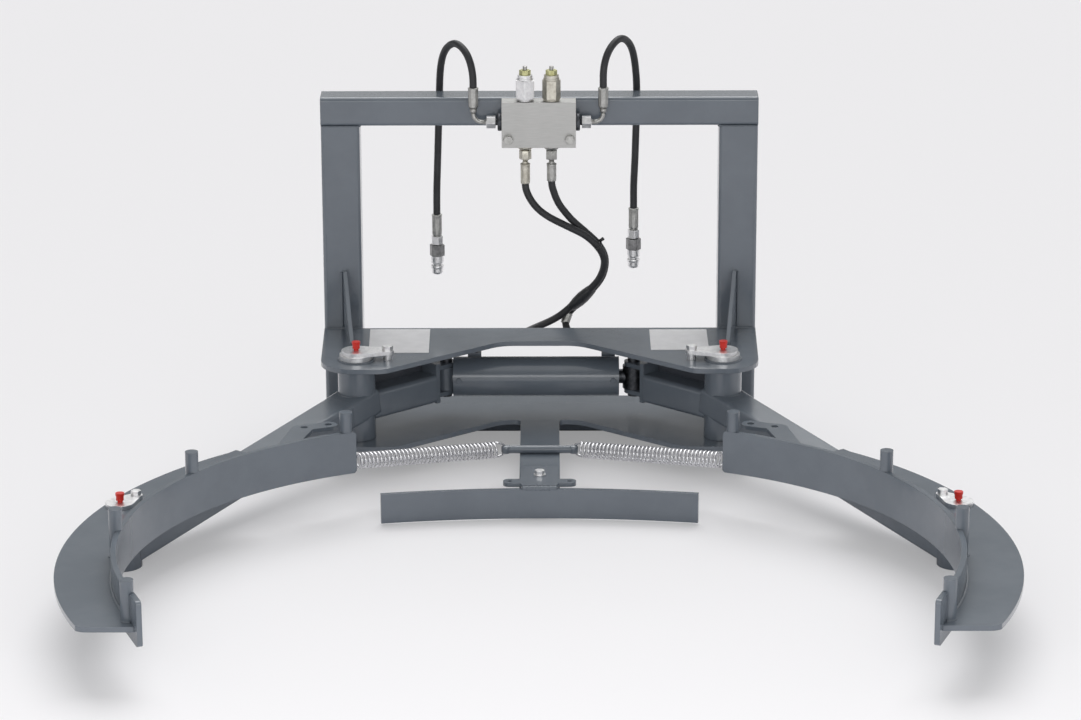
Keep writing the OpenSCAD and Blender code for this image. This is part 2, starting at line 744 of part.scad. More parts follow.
// Rolled sheet over the front of the barrel, held by two screws on standoffs
module cylinder_guard() {
    start = -lever_pin_x + 15;
    screws = [start + 12, guard_end - 12];
    color(paint) translate([0, -lever_pin_y, cyl_z]) {
        translate([start, 0, 0]) rotate([90, 0, 90]) rotate(80) rotate_extrude(angle = 185)
            translate([guard_r - guard_t, 0]) square([guard_t, guard_end - start]);
        for (x = screws) translate([x, -guard_r + 0.5, 4]) rotate([90, 0, 0]) hex(10, 5);
    }
}

module cylinder_rod() {
    piston_x = -lever_pin_x + 60;
    color(steel) difference() {
        union() {
            barrel_eye(lever_pin_x);
            translate([piston_x, -lever_pin_y, cyl_z]) rotate([0, 90, 0])
                cylinder(r = rod_r, h = lever_pin_x - piston_x - 10);
            translate([piston_x, -lever_pin_y, cyl_z]) rotate([0, 90, 0])
                cylinder(r = barrel_bore_r - pin_gap, h = 30);
        }
        eye_bore(lever_pin_x);
    }
}

// Open-wound tension spring with a hook at each end
module spring() {
    axis = spring_out - spring_in;
    len_all = norm(axis);
    hook_in = 16;
    hook_out = 26;
    mid_r = spring_r - spring_wire_r;
    steps = 9;
    n = spring_turns * steps;
    body = len_all - hook_in - hook_out;
    coil = [for (i = [0 : n]) let(a = 360 * i / steps) [mid_r * cos(a), mid_r * sin(a), hook_in + body * i / n]];
    hook_r = stud_r + 0.3;
    yaw = atan2(axis.y, axis.x);
    tilt = acos(axis.z / len_all);
    color(zinc) translate(spring_in) rotate([0, tilt, yaw]) sweep_free(concat(
        [[0, 0, 1], [0, 1, 4], [4, 2, 9]], coil,
        [[6, 3, len_all - 22], [0, 1, len_all - 18], [0, 0, len_all - hook_r]]), spring_wire_r, 6);
}

// Tube swept along a coil, with rings turned about the coil's own axis
module sweep_free(pts, r, sides) {
    n = len(pts);
    rings = [for (i = [0 : n - 1]) let(
        t = unit(pts[min(i + 1, n - 1)] - pts[max(i - 1, 0)]),
        u = unit(cross([0.01, 0.02, 1], t) + [0.0001, 0, 0]), v = cross(t, u))
        for (k = [0 : sides - 1]) pts[i] + r * (cos(360 * k / sides) * u + sin(360 * k / sides) * v)];
    walls = [for (i = [0 : n - 2]) for (k = [0 : sides - 1]) let(k2 = (k + 1) % sides)
        each [[i * sides + k, (i + 1) * sides + k, i * sides + k2],
            [i * sides + k2, (i + 1) * sides + k, (i + 1) * sides + k2]]];
    polyhedron(rings, concat(walls, [[for (k = [0 : sides - 1]) k]],
        [[for (k = [sides - 1 : -1 : 0]) (n - 1) * sides + k]]));
}

top_cross_tube();
side(false) upright();  // left_upright
side(true) upright();  // right_upright
lower_cross_tube();
top_plate();
bottom_plate();
side(false) gusset();  // left_gusset
side(true) gusset();  // right_gusset
side(false) hitch_bracket();  // left_hitch_bracket
side(true) hitch_bracket();  // right_hitch_bracket
side(false) main_pin();  // left_main_pin
side(true) main_pin();  // right_main_pin
side(false) main_grease_cap();  // left_main_grease_cap
side(true) main_grease_cap();  // right_main_grease_cap
spring_bar();
stop_carriage();
stop_band();
stop_bolt();
valve_block();
block_bolts();
cartridge(0);  // left_cartridge
cartridge(1);  // right_cartridge
adjuster_nuts();
side_fitting(0);  // left_side_fitting
side_fitting(1);  // right_side_fitting
bottom_fitting(0);  // left_bottom_fitting
bottom_fitting(1);  // right_bottom_fitting
supply_hose(supply_left);  // left_supply_hose
supply_hose(supply_right);  // right_supply_hose
coupler(supply_left);  // left_coupler
coupler(supply_right);  // right_coupler
cylinder_hose(cylinder_left);  // left_cylinder_hose
cylinder_hose(cylinder_right);  // right_cylinder_hose
hose_tie();
side(false) arm_hub();  // left_arm_hub
side(true) arm_hub();  // right_arm_hub
side(false) arm_beam();  // left_arm_beam
side(true) arm_beam();  // right_arm_beam
side(false) lever();  // left_lever
side(true) lever();  // right_lever
side(false) jaw_hub();  // left_jaw_hub
side(true) jaw_hub();  // right_jaw_hub
side(false) lever_pin();  // left_lever_pin
side(true) lever_pin();  // right_lever_pin
side(false) band();  // left_band
side(true) band();  // right_band
side(false) lug();  // left_lug
side(true) lug();  // right_lug
side(false) crescent();  // left_crescent
side(true) crescent();  // right_crescent
side(false) studs();  // left_studs
side(true) studs();  // right_studs
side(false) jaw_pin();  // left_jaw_pin
side(true) jaw_pin();  // right_jaw_pin
side(false) jaw_grease_cap();  // left_jaw_grease_cap
side(true) jaw_grease_cap();  // right_jaw_grease_cap
cylinder_barrel();
cylinder_gland();
cylinder_guard();
cylinder_rod();
side(false) spring();  // left_spring
side(true) spring();  // right_spring
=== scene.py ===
# %% [markdown]
# # Hydraulic grapple clamp
# The clamp is a welded portal frame with two arms that swing on upright pins. Each arm carries a
# curved jaw. One cylinder spreads the arm levers, two springs pull the jaws back, and a valve
# block on the top tube feeds the cylinder. The CAD solids hold every size. This file gives them
# their finish and adds what a solid modeller leaves out: hoses with their real length, coil
# springs with hooks, crimped ferrules, threads and weld beads.

# %% Load the frame
import json
import math

import bmesh
import bpy
from mathutils import Matrix, Vector


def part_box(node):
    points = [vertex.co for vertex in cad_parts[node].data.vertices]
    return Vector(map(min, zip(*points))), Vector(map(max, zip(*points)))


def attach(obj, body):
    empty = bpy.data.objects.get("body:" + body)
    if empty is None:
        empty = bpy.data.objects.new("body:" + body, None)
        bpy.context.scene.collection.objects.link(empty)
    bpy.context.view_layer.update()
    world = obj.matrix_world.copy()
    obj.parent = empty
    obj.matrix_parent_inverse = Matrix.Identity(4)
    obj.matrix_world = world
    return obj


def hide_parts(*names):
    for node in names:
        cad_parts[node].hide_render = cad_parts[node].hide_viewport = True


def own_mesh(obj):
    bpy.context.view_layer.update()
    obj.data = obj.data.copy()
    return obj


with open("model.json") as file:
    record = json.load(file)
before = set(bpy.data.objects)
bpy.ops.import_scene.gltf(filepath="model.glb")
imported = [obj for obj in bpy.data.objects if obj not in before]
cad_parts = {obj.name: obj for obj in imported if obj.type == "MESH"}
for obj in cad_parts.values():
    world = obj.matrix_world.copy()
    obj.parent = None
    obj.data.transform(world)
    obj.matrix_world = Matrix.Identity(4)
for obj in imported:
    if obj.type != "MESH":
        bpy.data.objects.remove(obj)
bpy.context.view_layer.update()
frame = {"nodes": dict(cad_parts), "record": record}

# %% [markdown]
# ## Camera
# The photograph looks down at the clamp by about seventeen degrees from seven and a half metres
# away, with a long lens. The camera is placed at the fitted point. Its axes are worked out from
# yaw, pitch and roll, because that keeps the three small angles readable.

# %% Camera
FOCAL_PIXELS, PHOTO_WIDTH, SENSOR = 3749.8, 1081, 36
yaw, pitch, roll = math.radians(-0.164), math.radians(17.321), math.radians(-0.167)
ahead = Vector((math.sin(yaw) * math.cos(pitch), math.cos(yaw) * math.cos(pitch), -math.sin(pitch)))
level_right = Vector((math.cos(yaw), -math.sin(yaw), 0))
level_up = level_right.cross(ahead)
right = math.cos(roll) * level_right + math.sin(roll) * level_up
up = math.cos(roll) * level_up - math.sin(roll) * level_right
lens_data = bpy.data.cameras.new("camera")
lens_data.lens = FOCAL_PIXELS / PHOTO_WIDTH * SENSOR
lens_data.clip_end = 100
camera = bpy.data.objects.new("camera", lens_data)
camera.matrix_world = Matrix((right, up, -ahead)).transposed().to_4x4()
camera.location = (0.0225, -7.535, 2.4976)
bpy.context.collection.objects.link(camera)
bpy.context.scene.camera = camera
print("lens", round(lens_data.lens, 2))

# %% [markdown]
# ## Hoses
# A hydraulic hose is stiff: it leaves its ferrule straight and bends in wide curves. Two supply
# hoses arch over the top tube and hang free behind it with a coupler on each end. Two more run
# from the block down to the cylinder, bound together by tape and a cable tie. The route points
# are those of the CAD model. A smooth curve through them is sampled, and its length is the hose's
# real length. Blender adds a curve point's radius to the object's box, so the radius here is the
# hose's own and the bevel depth is one.

# %% Hose routes
HOSE = 0.015


def millimetres(*points):
    return [Vector(p) / 1000 for p in points]


def smooth_route(name):
    """Points of a smooth curve through a hose's route. The long supply hoses need more of them."""
    points, steps = routes[name], 2 if "supply" in name else 1
    route = []
    for i in range(len(points) - 1):
        a, b = points[max(i - 1, 0)], points[i]
        c, d = points[i + 1], points[min(i + 2, len(points) - 1)]
        for j in range(steps):
            t = j / steps
            route.append(0.5 * (2 * b + (c - a) * t + (2 * a - 5 * b + 4 * c - d) * t * t
                                + (3 * b - a - 3 * c + d) * t ** 3))
    return route + [points[-1].copy()]


def route_length(route):
    return sum((q - p).length for p, q in zip(route, route[1:]))


routes = {
    "left_supply_hose": millimetres(
        (-135, -55, 748.2), (-135, -55, 762), (-137, -55, 785), (-147, -42, 815), (-170, -12, 832),
        (-193, 20, 812), (-204, 42, 770), (-207, 50, 715), (-210, 60, 640), (-213, 66, 560),
        (-215.5, 74, 500), (-216, 75, 457), (-216, 75, 446)),
    "right_supply_hose": millimetres(
        (131, -55, 748.2), (131, -55, 764), (132, -55, 790), (142, -42, 822), (166, -12, 842),
        (188, 22, 820), (198, 42, 775), (202, 50, 718), (201, 60, 640), (199, 67, 560),
        (197, 74, 510), (197, 75, 470), (197, 75, 459)),
    "left_cylinder_hose": millimetres(
        (-29, -55, 545.8), (-29, -55, 537), (-25, -56, 522), (-8, -57, 495), (15, -55, 476),
        (40, -52, 462), (68, -48, 447), (96, -44, 432), (117, -39, 411), (131, -33, 390),
        (136, -26, 369), (132, -18, 347), (122, -9, 323), (106, -1, 304), (82, 6, 280),
        (50, 14, 246), (26, 16, 230), (-2, 12, 219), (-30, 0, 210), (-65, -35, 202),
        (-105, -62, 203), (-128, -72.5, 202.5), (-136, -73, 197), (-136, -73, 190.2)),
    "right_cylinder_hose": millimetres(
        (25, -55, 550.8), (25, -55, 542), (30, -53, 525), (38, -48, 502), (52, -43, 482),
        (68, -37, 461), (87, -31, 443), (105, -25, 425), (122, -20.5, 408), (134, -14, 386),
        (138, -7, 365), (135, 1, 341), (126, 9.5, 318), (110, 15, 298), (90, 22, 275),
        (67, 27, 251), (56, 29, 238), (52, 20, 222), (60, -6, 208), (84, -36, 202),
        (112, -60, 203), (134, -72.5, 202.5), (142, -73, 197), (142, -73, 190.2)),
}

# %% Hose pieces
hoses = {}
for name in routes:
    route = smooth_route(name)
    curve = bpy.data.curves.new(name, "CURVE")
    curve.dimensions = "3D"
    curve.bevel_depth = 1
    curve.bevel_resolution = 6
    curve.resolution_u = 6
    curve.use_fill_caps = True
    spline = curve.splines.new("NURBS")
    spline.points.add(len(route) - 1)
    for point, place in zip(spline.points, route):
        point.co = (*place, 1)
        point.radius = HOSE / 2
    spline.use_endpoint_u = True
    spline.order_u = 4
    hose = bpy.data.objects.new(name + "_cover", curve)
    bpy.context.collection.objects.link(hose)
    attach(hose, "frame")
    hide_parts(name)
    hoses[name] = hose
    print(name, round(route_length(route), 3), "m")

# %% [markdown]
# ## Shader maths
# Node graphs are easier to read as sums. A small class wraps a socket and turns Python operators
# into Math nodes, and one method makes any other node from its type, settings and inputs.

# %% Signal and Finish


class Signal:
    """A number that changes over the surface, as an output socket."""

    def __init__(self, finish, socket):
        self.finish, self.socket = finish, socket

    def _with(self, operation, *values):
        inputs = {i: v for i, v in enumerate(values)}
        return self.finish.node("Math", {"operation": operation}, inputs)

    def __add__(self, other):
        return self._with("ADD", self, other)

    __radd__ = __add__

    def __mul__(self, other):
        return self._with("MULTIPLY", self, other)

    __rmul__ = __mul__

    def __sub__(self, other):
        return self._with("SUBTRACT", self, other)

    def __rsub__(self, other):
        return self._with("SUBTRACT", other, self)

    def __pow__(self, other):
        return self._with("POWER", self, other)

    def sine(self):
        return self._with("SINE", self)

    def above(self, low, high):
        """0 below low, 1 above high, smooth between."""
        return self.finish.node("MapRange", {"interpolation_type": "SMOOTHSTEP"},
                                {"Value": self, "From Min": low, "From Max": high})


class Finish:
    """One material with its node tree."""

    def __init__(self, name):
        self.material = bpy.data.materials.new(name)
        self.material.use_nodes = True
        self.tree = self.material.node_tree
        self.shader = self.tree.nodes["Principled BSDF"]

    def node(self, kind, settings=None, inputs=None, output=0):
        made = self.tree.nodes.new("ShaderNode" + kind)
        for key, value in (settings or {}).items():
            if key == "stops":
                ramp = made.color_ramp.elements
                while len(ramp) < len(value):
                    ramp.new(0.5)
                for stop, (place, colour) in zip(ramp, value):
                    stop.position, stop.color = place, colour
            else:
                setattr(made, key, value)
        for key, value in (inputs or {}).items():
            self.feed(made.inputs[key], value)
        return Signal(self, made.outputs[output])

    def feed(self, socket, value):
        if isinstance(value, Signal):
            self.tree.links.new(value.socket, socket)
        else:
            socket.default_value = value

    def set(self, **values):
        for key, value in values.items():
            self.feed(self.shader.inputs[key.replace("_", " ")], value)

    def place(self):
        return self.node("TexCoord", output=3)

    def noise(self, scale, detail=3, rough=0.5, stretch=None):
        where = self.place()
        if stretch:
            where = self.node("Mapping", None, {"Vector": where, "Scale": stretch})
        return self.node("TexNoise", None, {"Vector": where, "Scale": scale, "Detail": detail,
                                            "Roughness": rough})

    def mix(self, amount, a, b):
        return self.node("Mix", {"data_type": "RGBA"}, {0: amount, 6: a, 7: b}, output=2)

    def relief(self, height, depth, edge=0.0):
        inputs = {"Height": height, "Distance": depth, "Strength": 1.0}
        if edge:
            inputs["Normal"] = self.node("Bevel", {"samples": 6}, {"Radius": edge})
        self.set(Normal=self.node("Bump", None, inputs))


# %% [markdown]
# ## Finishes
# The steel is coated in one blue-grey paint with a slight orange peel and a glossy lacquer. The
# levers' webs are dull and darker: painted shade for the shadow under the top plate. Fittings are
# zinc plated in several tones, with a faint mottle and fine turning marks. The block is milled
# aluminium with straight cutter marks.
# The cylinder's chrome rod gets the dark steel finish, as painted shade for the rod in shadow.
# Other colours are written as the surface looks in plain daylight.

# %% Painted steel


def shade(r, g, b):
    """Linear colour from display values of 0 to 255."""
    return tuple(((v / 255 + 0.055) / 1.055) ** 2.4 for v in (r, g, b)) + (1,)


def painted(name, light, dark, rough, lacquer):
    coat = Finish(name)
    cloud = coat.noise(7, 4, 0.6)
    peel = coat.noise(320, 2, 0.4)
    grit = coat.noise(1300, 2, 0.6)
    coat.set(Base_Color=coat.mix(cloud.above(0.35, 0.65), dark, light),
             Roughness=rough + 0.06 * cloud + 0.05 * grit, Coat_Weight=lacquer, Coat_Roughness=0.12)
    coat.relief(peel + 0.25 * grit, 0.00007, edge=0.0018)
    return coat


grey_paint = painted("grey_paint", shade(104, 112, 121), shade(98, 106, 115), 0.2, 0.6)
# The webs' darker paint is painted shade: the lever webs sit in the shadow under the top plate.
web_shade_paint = painted("web_shade_paint", shade(74, 78, 86), shade(68, 72, 80), 0.45, 0.0)
print(grey_paint.material.name, web_shade_paint.material.name)

# %% Plated and milled metal


def plated(name, light, dark, rough, metallic=1.0):
    metal = Finish(name)
    mottle = metal.noise(120, 4, 0.6)
    fine = metal.noise(900, 3, 0.6, stretch=(1, 1, 3))
    metal.set(Base_Color=metal.mix(mottle.above(0.3, 0.7), dark, light),
              Roughness=rough + 0.16 * mottle + 0.06 * fine, Metallic=metallic)
    metal.relief(fine, 0.00006, edge=0.0008)
    return metal


zinc = plated("zinc_plate", shade(205, 204, 200), shade(176, 175, 172), 0.26)
yellow_zinc = plated("yellow_zinc", shade(196, 196, 150), shade(168, 166, 118), 0.28)
bright_zinc = plated("bright_zinc", shade(238, 238, 238), shade(218, 218, 219), 0.24)
grey_zinc = plated("grey_zinc", shade(186, 186, 183), shade(160, 160, 157), 0.3)
warm_zinc = plated("warm_zinc", shade(206, 203, 192), shade(176, 172, 160), 0.24)
dark_zinc = plated("dark_zinc", shade(150, 150, 150), shade(118, 118, 119), 0.26)
spring_zinc = plated("spring_zinc", shade(238, 238, 240), shade(216, 216, 219), 0.16, 0.85)
# Dark steel serves the lever pins and adaptors, and is also painted shade on the cylinder's chrome
# rod in shadow.
dark_steel_and_rod_shade = plated("dark_steel_and_rod_shade", shade(96, 98, 102), shade(66, 68, 72), 0.34)

milled = Finish("milled_aluminium")
cutter = milled.noise(60, 3, 0.6, stretch=(0.6, 4, 10))
soft = milled.noise(30, 3, 0.5)
milled.set(Base_Color=milled.mix(cutter.above(0.3, 0.7), shade(172, 172, 170),
                                 shade(180, 180, 178)),
           Roughness=0.36 + 0.14 * soft, Metallic=1.0)
milled.relief(cutter, 0.00001, edge=0.0008)
print(milled.material.name, zinc.material.name, dark_steel_and_rod_shade.material.name)

# %% Rubber and plastic
rubber = Finish("hose_cover")
weave = rubber.noise(650, 2, 0.5)
dust = rubber.noise(28, 4, 0.6)
rubber.set(Base_Color=rubber.mix(dust.above(0.45, 0.8), shade(38, 39, 42), shade(54, 55, 58)),
           Roughness=0.46 + 0.1 * dust)
rubber.relief(weave, 0.0002)

red_cap = Finish("red_cap")
wear = red_cap.noise(160, 3, 0.5)
red_cap.set(Base_Color=red_cap.mix(wear.above(0.4, 0.8), shade(214, 40, 26), shade(196, 32, 22)),
            Roughness=0.3 + 0.1 * wear)
red_cap.relief(wear, 0.00008, edge=0.0006)

tie_plastic = Finish("tie_plastic")
ribs = tie_plastic.noise(500, 2, 0.5)
tie_plastic.set(Base_Color=tie_plastic.mix(ribs.above(0.4, 0.7), shade(34, 35, 38),
                                           shade(46, 47, 50)),
                Roughness=0.42 + 0.1 * ribs)
tie_plastic.relief(ribs, 0.0001, edge=0.0005)

sticker = Finish("bare_label")
sheen = sticker.noise(40, 3, 0.5)
sticker.set(Base_Color=sticker.mix(sheen.above(0.3, 0.7), shade(206, 206, 208),
                                   shade(214, 214, 216)),
            Roughness=0.3 + 0.12 * sheen)
sticker.relief(sheen, 0.00002, edge=0.0003)

# %% Finish of each CAD node
part_finish = {"block_bolts": grey_zinc, "stop_bolt": bright_zinc}
for side in ("left", "right"):
    part_finish[side + "_lever_pin"] = dark_steel_and_rod_shade
    part_finish[side + "_main_pin"] = part_finish[side + "_jaw_pin"] = bright_zinc
# The chrome_rod slot gets the dark steel finish as painted shade: the cylinder's chrome rod in
# shadow.
finishes = {"paint": grey_paint, "zinc": zinc, "yellow_zinc": yellow_zinc, "alloy": milled,
            "chrome_rod": dark_steel_and_rod_shade, "hose_rubber": rubber, "tie_plastic": tie_plastic,
            "cap_plastic": red_cap}
for part in frame["record"]["subparts"]:
    node = frame["nodes"][part["node"]]
    node.data.materials.clear()
    finish = part_finish.get(part["node"]) or finishes[part["material_slot"]]
    node.data.materials.append(finish.material)
for hose in hoses.values():
    hose.data.materials.append(rubber.material)
print("slots", len(finishes), "nodes with a finish of their own", len(part_finish))

# %% [markdown]
# ## Floor and light
# The studio is a white sweep. A wide soft sun shines from above and behind, so the shadows fall
# forward, and a low long panel in front fills the upright faces. The world fills the rest. The
# camera sees it, and the floor in part, as one pale tone. Glossy surfaces see a white sweep low
# down and a dim room above it, which gives the paint its dark sheen.

# %% Floor
SWEEP_TONE = 0.888
SWEEP = (SWEEP_TONE, SWEEP_TONE, 0.892, 1)
FLOOR_GLOW = 0.3

bm = bmesh.new()
bmesh.ops.create_grid(bm, x_segments=1, y_segments=1, size=30)
floor_mesh = bpy.data.meshes.new("floor")
bm.to_mesh(floor_mesh)
bm.free()
floor = bpy.data.objects.new("floor", floor_mesh)
floor.location = (0, 0, -0.0005)
bpy.context.collection.objects.link(floor)
ground = Finish("floor")
ground.set(Base_Color=(0.875, 0.865, 0.885, 1), Roughness=0.9, Specular_IOR_Level=0.0)
floor_mesh.materials.append(ground.material)
glow = ground.node("Emission", None, {"Color": SWEEP})
to_camera = ground.node("LightPath", output="Is Camera Ray")
blend = ground.node("MixShader", None, {0: FLOOR_GLOW * to_camera,
                                        1: Signal(ground, ground.shader.outputs[0]), 2: glow})
ground.feed(ground.tree.nodes["Material Output"].inputs["Surface"], blend)
print("floor tone", SWEEP_TONE)

# %% World
world = bpy.data.worlds.new("studio")
world.use_nodes = True
bpy.context.scene.world = world
tree = world.node_tree
tree.nodes.remove(tree.nodes["Background"])
path = tree.nodes.new("ShaderNodeLightPath")
looking = tree.nodes.new("ShaderNodeNewGeometry")
height = tree.nodes.new("ShaderNodeSeparateXYZ")
tree.links.new(looking.outputs["Incoming"], height.inputs[0])
rise = tree.nodes.new("ShaderNodeMapRange")
tree.links.new(height.outputs["Z"], rise.inputs["Value"])
rise.inputs["From Min"].default_value = 0
rise.inputs["From Max"].default_value = -1


def sky(steps):
    """A background whose tone depends on the height looked at, from 0 level to 1 straight up."""
    room = tree.nodes.new("ShaderNodeValToRGB")
    tree.links.new(rise.outputs[0], room.inputs[0])
    while len(room.color_ramp.elements) < len(steps):
        room.color_ramp.elements.new(0.5)
    for stop, (place, tone) in zip(room.color_ramp.elements, steps):
        stop.position, stop.color = place, (tone, tone, tone, 1)
    background = tree.nodes.new("ShaderNodeBackground")
    tree.links.new(room.outputs[0], background.inputs["Color"])
    return background.outputs[0]


def either(ray, without, with_it):
    """One background for rays of a kind and another for the rest."""
    swap = tree.nodes.new("ShaderNodeMixShader")
    for socket, source in zip(swap.inputs, (path.outputs[ray], without, with_it)):
        tree.links.new(source, socket)
    return swap.outputs[0]


mirrored_room = sky([(0.0, SWEEP_TONE), (0.2, SWEEP_TONE), (0.255, 0.14), (0.6, 0.22), (0.85, 1.0)])
filled_room = sky([(0.0, 0.56), (0.25, 0.46), (0.5, 0.42), (1.0, 0.5)])
seen = tree.nodes.new("ShaderNodeBackground")
seen.inputs["Color"].default_value = SWEEP
lit = either("Is Glossy Ray", filled_room, mirrored_room)
shown = either("Is Camera Ray", lit, seen.outputs[0])
tree.links.new(shown, tree.nodes["World Output"].inputs["Surface"])
print("world nodes", len(tree.nodes))

# %% Lamps
FILL_PLACE, FILL_AIM = Vector((0, -3.1, 1.15)), Vector((0, -0.8, 0.1))

sun = bpy.data.lights.new("softbox", "SUN")
sun.energy = 1.75
sun.angle = math.radians(50)
softbox = bpy.data.objects.new("softbox", sun)
softbox.rotation_euler = (math.radians(-33), math.radians(3), 0)
bpy.context.collection.objects.link(softbox)

panel = bpy.data.lights.new("front_fill", "AREA")
panel.shape = "RECTANGLE"
panel.size, panel.size_y = 3.2, 0.5
panel.energy = 17
front_fill = bpy.data.objects.new("front_fill", panel)
facing = (FILL_PLACE - FILL_AIM).to_track_quat("Z", "Y").to_matrix().to_4x4()
front_fill.matrix_world = Matrix.Translation(FILL_PLACE) @ facing
bpy.context.collection.objects.link(front_fill)
bpy.context.scene.view_settings.view_transform = "Standard"
print("sun", sun.energy, "panel", panel.energy, "W")

# %% [markdown]
# ## Making pieces
# Each new piece is shaped in a bmesh and stored with its place in its mesh. This helper writes
# the mesh, smooths it where wanted and ties it to the body it moves with. The places of the main
# hub, jaw hub and lever pin on the right are the CAD model's, and the left ones mirror them.

# %% Piece helper
SIDES = (("left", -1), ("right", 1))
HUB, JAW_HUB = Vector((0.373, -0.254, 0)), Vector((0.794, -0.834, 0))
LEVER_PIN = Vector((0.195, -0.095, 0))


def piece(name, bm, finish, body, smooth=True, replaces=()):
    mesh = bpy.data.meshes.new(name)
    bmesh.ops.recalc_face_normals(bm, faces=bm.faces)
    bm.to_mesh(mesh)
    bm.free()
    for face in mesh.polygons:
        face.use_smooth = smooth
    mesh.materials.append(finish.material)
    made = bpy.data.objects.new(name, mesh)
    bpy.context.collection.objects.link(made)
    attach(made, body)
    if replaces:
        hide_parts(*replaces)
    print(name, len(mesh.polygons), "faces")
    return made


# %% [markdown]
# ## Tension springs
# A spring is a round wire wound in a helix, with an open hook at each end. The spin operator with a
# rise per turn winds it from one disc of wire. Each spring shortens as its arm closes; here it is
# tied to its own body, which it turns with.

# %% Springs
WIRE, COIL, TURNS, STEPS = 0.0024, 0.0146, 36, 24
HOOK_IN, HOOK_OUT, INNER_REACH = 0.016, 0.026, 0.024
SPRING_Y, SPRING_Z = -0.363, 0.072


def towards(direction):
    return direction.to_track_quat("Z", "Y").to_matrix().to_4x4()


def lofted(bm, rings, segments=10):
    """A skin over rings, each set by a matrix that turns and stretches a unit circle."""
    edges = []
    for i, place in enumerate(rings):
        ends = i in (0, len(rings) - 1)
        ring = bmesh.ops.create_circle(bm, cap_ends=ends, segments=segments, radius=1, matrix=place)
        made = set(ring["verts"])
        rim = list({e for v in ring["verts"] for e in v.link_edges if e.other_vert(v) in made})
        if edges:
            bmesh.ops.bridge_loops(bm, edges=edges + rim)
        edges = rim


def swept(bm, path, radius, segments=10):
    """A round wire through the points of a path."""
    rings = []
    for i, point in enumerate(path):
        along = path[min(i + 1, len(path) - 1)] - path[max(i - 1, 0)]
        wide = Matrix.Diagonal((radius, radius, 1, 1))
        rings.append(Matrix.Translation(point) @ towards(along) @ wide)
    lofted(bm, rings, segments)


def wire_spring(start, end):
    length = (end - start).length
    rise = length - HOOK_IN - HOOK_OUT
    half_turn = [math.pi * i / 20 for i in range(21)]
    bm = bmesh.new()
    for at, reach in ((HOOK_IN, -INNER_REACH), (length - HOOK_OUT, HOOK_OUT)):
        hook = [Vector((0, COIL * math.cos(t), at + reach * math.sin(t))) for t in half_turn]
        swept(bm, hook, WIRE)
    wire_start = Matrix.Translation((0, COIL, HOOK_IN)) @ Matrix.Rotation(math.radians(90), 4, "Y")
    disc = bmesh.ops.create_circle(bm, cap_ends=True, segments=10, radius=WIRE, matrix=wire_start)
    made = set(disc["verts"])
    geom = disc["verts"] + [e for e in bm.edges if e.verts[0] in made and e.verts[1] in made]
    geom += [f for f in bm.faces if all(v in made for v in f.verts)]
    bmesh.ops.spin(bm, geom=geom, cent=(0, 0, 0), axis=(0, 0, 1), dvec=(0, 0, rise / TURNS / STEPS),
                   angle=math.radians(360 * TURNS), steps=STEPS * TURNS, use_merge=False)
    bmesh.ops.transform(bm, matrix=Matrix.Translation(start) @ towards(end - start), verts=bm.verts)
    return bm


for side, sign in SIDES:
    inner = Vector((sign * 0.0748, SPRING_Y, SPRING_Z))
    outer = Vector((sign * 0.3807, -0.548, 0.110))
    spring = piece(side + "_coil_spring", wire_spring(inner, outer), spring_zinc,
                   side + "_tension_spring", replaces=(side + "_spring",))
    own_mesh(spring)
    print(spring.name, round((outer - inner).length, 4), "m")

# %% [markdown]
# ## Turned parts and nuts
# Fittings are turned on a lathe and have hexagons for a spanner. A lathe part is an outline of
# radius and height that the spin operator turns once round. A hexagon is a six-sided cone with
# its edges bevelled. Small parts are joined into one piece, each with its own direction.

# %% Lathe and hexagon


def join(bm, part, at, way=None, turn=0.0):
    """Adds a part to a mesh at a place, with its Z along a way and turned about it."""
    aim = towards(Vector(way)) if way else Matrix()
    part.transform(Matrix.Translation(at) @ aim @ Matrix.Rotation(turn, 4, "Z"))
    passing = bpy.data.meshes.new("passing")
    part.to_mesh(passing)
    bm.from_mesh(passing)
    bpy.data.meshes.remove(passing)
    part.free()


def turned(outline, steps=40):
    """A lathe part from radii and heights in millimetres."""
    part = bmesh.new()
    verts = [part.verts.new((r / 1000, 0, h / 1000)) for r, h in outline]
    edges = [part.edges.new(pair) for pair in zip(verts, verts[1:])]
    bmesh.ops.spin(part, geom=verts + edges, cent=(0, 0, 0), axis=(0, 0, 1),
                   angle=2 * math.pi, steps=steps, use_merge=True)
    bmesh.ops.remove_doubles(part, verts=part.verts, dist=1e-6)
    bmesh.ops.recalc_face_normals(part, faces=part.faces)
    return part


def hexagon(across, low, high, soften=0.6):
    """A hexagon from its width across flats and two heights, in millimetres."""
    part = bmesh.new()
    radius = across / math.sqrt(3) / 1000
    bmesh.ops.create_cone(part, cap_ends=True, segments=6, radius1=radius, radius2=radius,
                          depth=(high - low) / 1000,
                          matrix=Matrix.Translation((0, 0, (high + low) / 2000)))
    bmesh.ops.bevel(part, geom=list(part.edges), offset=soften / 1000, segments=2, profile=0.5,
                    affect="EDGES", material=-1)
    return part


def crimped(low, high, radius=10.5):
    """A ferrule with eight crimp flats and a plain collar at each end."""
    run = high - low
    part = turned([(0, low), (radius - 1.4, low), (radius - 0.4, low + 0.8),
                   (radius - 0.4, low + 3), (radius, low + 5), (radius, low + run * 0.3),
                   (radius, low + run * 0.5), (radius, low + run * 0.7), (radius, high - 5),
                   (radius + 0.3, high - 3), (radius + 0.3, high - 0.8), (radius - 0.8, high),
                   (0, high)], steps=64)
    for vert in part.verts:
        height = vert.co.z * 1000 - low
        if 4 < height < run - 4 and vert.co.xy.length > 0.001:
            angle = math.atan2(vert.co.y, vert.co.x)
            vert.co.xy *= 1 - 0.07 * abs(math.cos(4 * angle)) ** 6
    return part


